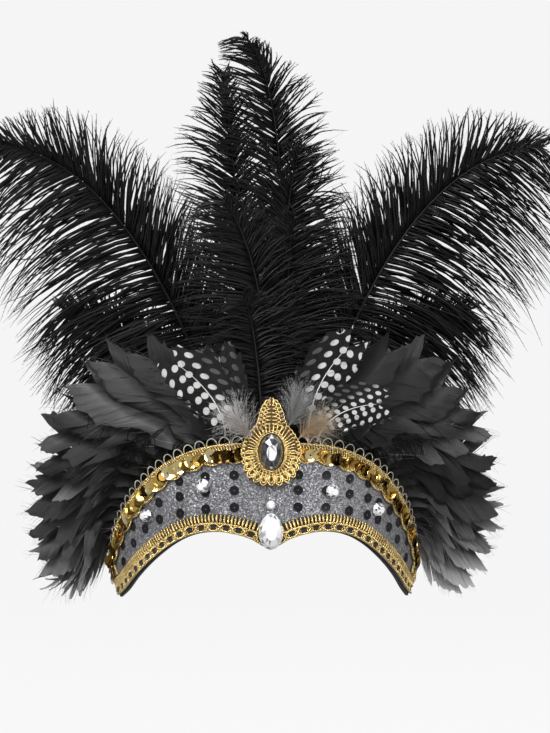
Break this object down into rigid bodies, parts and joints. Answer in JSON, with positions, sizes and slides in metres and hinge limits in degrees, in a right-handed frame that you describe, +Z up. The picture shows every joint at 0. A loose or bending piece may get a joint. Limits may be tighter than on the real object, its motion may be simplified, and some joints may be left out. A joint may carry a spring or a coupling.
{
  "type": "feather headdress",
  "caption": "Carnival headdress: a stiff glitter-faced brow crescent with gold trim, stones and a medallion, carrying a fan of dark plumes and short side feathers; worn across the forehead.",
  "frame": {"origin": "on the axis of the brow crescent's curve, level with the lowest point of the crescent's middle, where a head fills the hollow", "axes": "+Z up along the plumes, -Y the way the wearer faces, +X to the right as seen from the front"},
  "size_m": [0.3044, 0.0996, 0.314],
  "materials": {
    "felt": "matt stiff felt",
    "glitter_cloth": "silver glitter with dark sequin dots",
    "gold_braid": "metallic gold thread",
    "gold_sequins": "mirror-bright gold foil",
    "clear_stone": "clear faceted acrylic, foil backed",
    "smoke_stone": "smoke-grey faceted acrylic, foil backed",
    "ostrich": "dyed black ostrich feather",
    "cock": "dyed black and grey cock feather",
    "guinea": "dark feather with white spots",
    "down": "grey and brown down"
  },
  "bodies": {
    "root": {"felt_base": "felt", "glitter_cloth": "glitter_cloth", "lower_braid": "gold_braid", "medallion": "gold_braid", "sequin_trim": "gold_sequins", "oval_stone": "smoke_stone", "pear_stone": "clear_stone", "drop_stone": "clear_stone", "round_stone_1": "clear_stone", "round_stone_2": "clear_stone", "round_stone_3": "clear_stone", "round_stone_4": "clear_stone", "plume_low_front": "ostrich", "plume_front_left": "ostrich", "plume_front_right": "ostrich", "plume_mid_right": "ostrich", "plume_tall": "ostrich", "plume_tall_left": "ostrich", "plume_side_left": "ostrich", "plume_side_right": "ostrich", "plume_low_side_left": "ostrich", "plume_low_side_right": "ostrich", "guinea_left_outer": "guinea", "guinea_left_inner": "guinea", "guinea_right_upper": "guinea", "guinea_right_lower": "guinea", "down_left": "down", "down_right_upper": "down", "down_right_lower": "down", "side_feather_left_1": "cock", "side_feather_left_2": "cock", "side_feather_left_3": "cock", "side_feather_left_4": "cock", "side_feather_left_5": "cock", "side_feather_left_6": "cock", "side_feather_left_7": "cock", "side_feather_left_8": "cock", "side_feather_left_9": "cock", "side_feather_left_10": "cock", "side_feather_left_11": "cock", "side_feather_left_12": "cock", "side_feather_left_13": "cock", "side_feather_right_1": "cock", "side_feather_right_2": "cock", "side_feather_right_3": "cock", "side_feather_right_4": "cock", "side_feather_right_5": "cock", "side_feather_right_6": "cock", "side_feather_right_7": "cock", "side_feather_right_8": "cock", "side_feather_right_9": "cock", "side_feather_right_10": "cock", "side_feather_right_11": "cock", "side_feather_right_12": "cock", "side_feather_right_13": "cock"}
  },
  "joints": []
}
